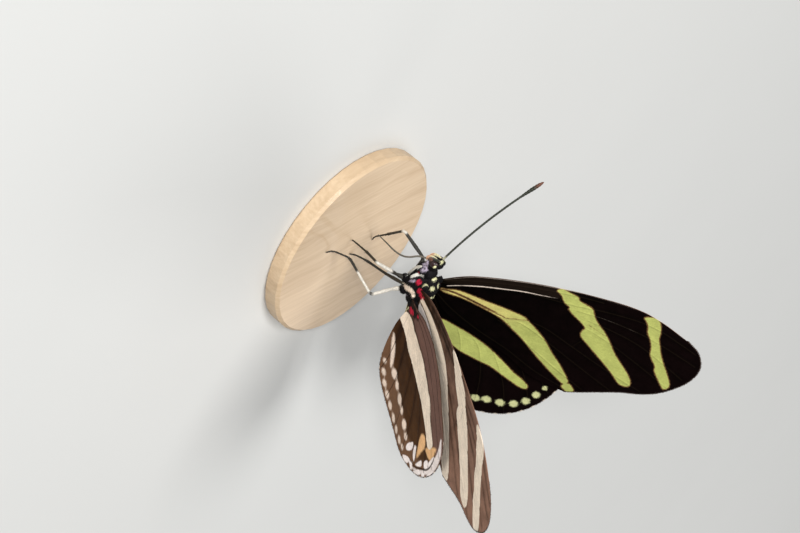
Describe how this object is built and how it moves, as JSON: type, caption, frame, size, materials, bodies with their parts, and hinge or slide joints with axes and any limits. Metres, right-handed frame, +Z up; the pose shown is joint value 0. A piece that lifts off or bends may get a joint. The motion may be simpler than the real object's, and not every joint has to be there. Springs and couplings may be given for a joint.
{
  "type": "zebra longwing butterfly model",
  "caption": "Life-size zebra longwing butterfly, black with pale yellow bands, standing with half-raised wings on a plain round base.",
  "frame": {"origin": "middle of the whole outline seen from above, level with the underside of the base", "axes": "+Z up; the head points along -Y and the tail along +Y; the butterfly's left is +X"},
  "size_m": [0.052, 0.042, 0.0547],
  "materials": {
    "body_black": "matt, downy black",
    "eye": "glossy dark red-brown",
    "cream": "matt cream",
    "forewing": "matt, scaled, near black with pale yellow bands",
    "hindwing": "matt, scaled, dark brown with a pale band",
    "base_wood": "smooth pale wood"
  },
  "bodies": {
    "root": {"thorax": "body_black", "head": "body_black", "abdomen": "body_black", "proboscis": "body_black", "eye_left": "eye", "eye_right": "eye", "palp_left": "cream", "palp_right": "cream", "antenna_left": "body_black", "antenna_right": "body_black", "foreleg_left": "cream", "foreleg_right": "cream", "midleg_left": "body_black", "midleg_right": "body_black", "hindleg_left": "body_black", "hindleg_right": "body_black", "forewing_left": "forewing", "forewing_right": "forewing", "hindwing_left": "hindwing", "hindwing_right": "hindwing", "stand_base": "base_wood"}
  },
  "joints": []
}
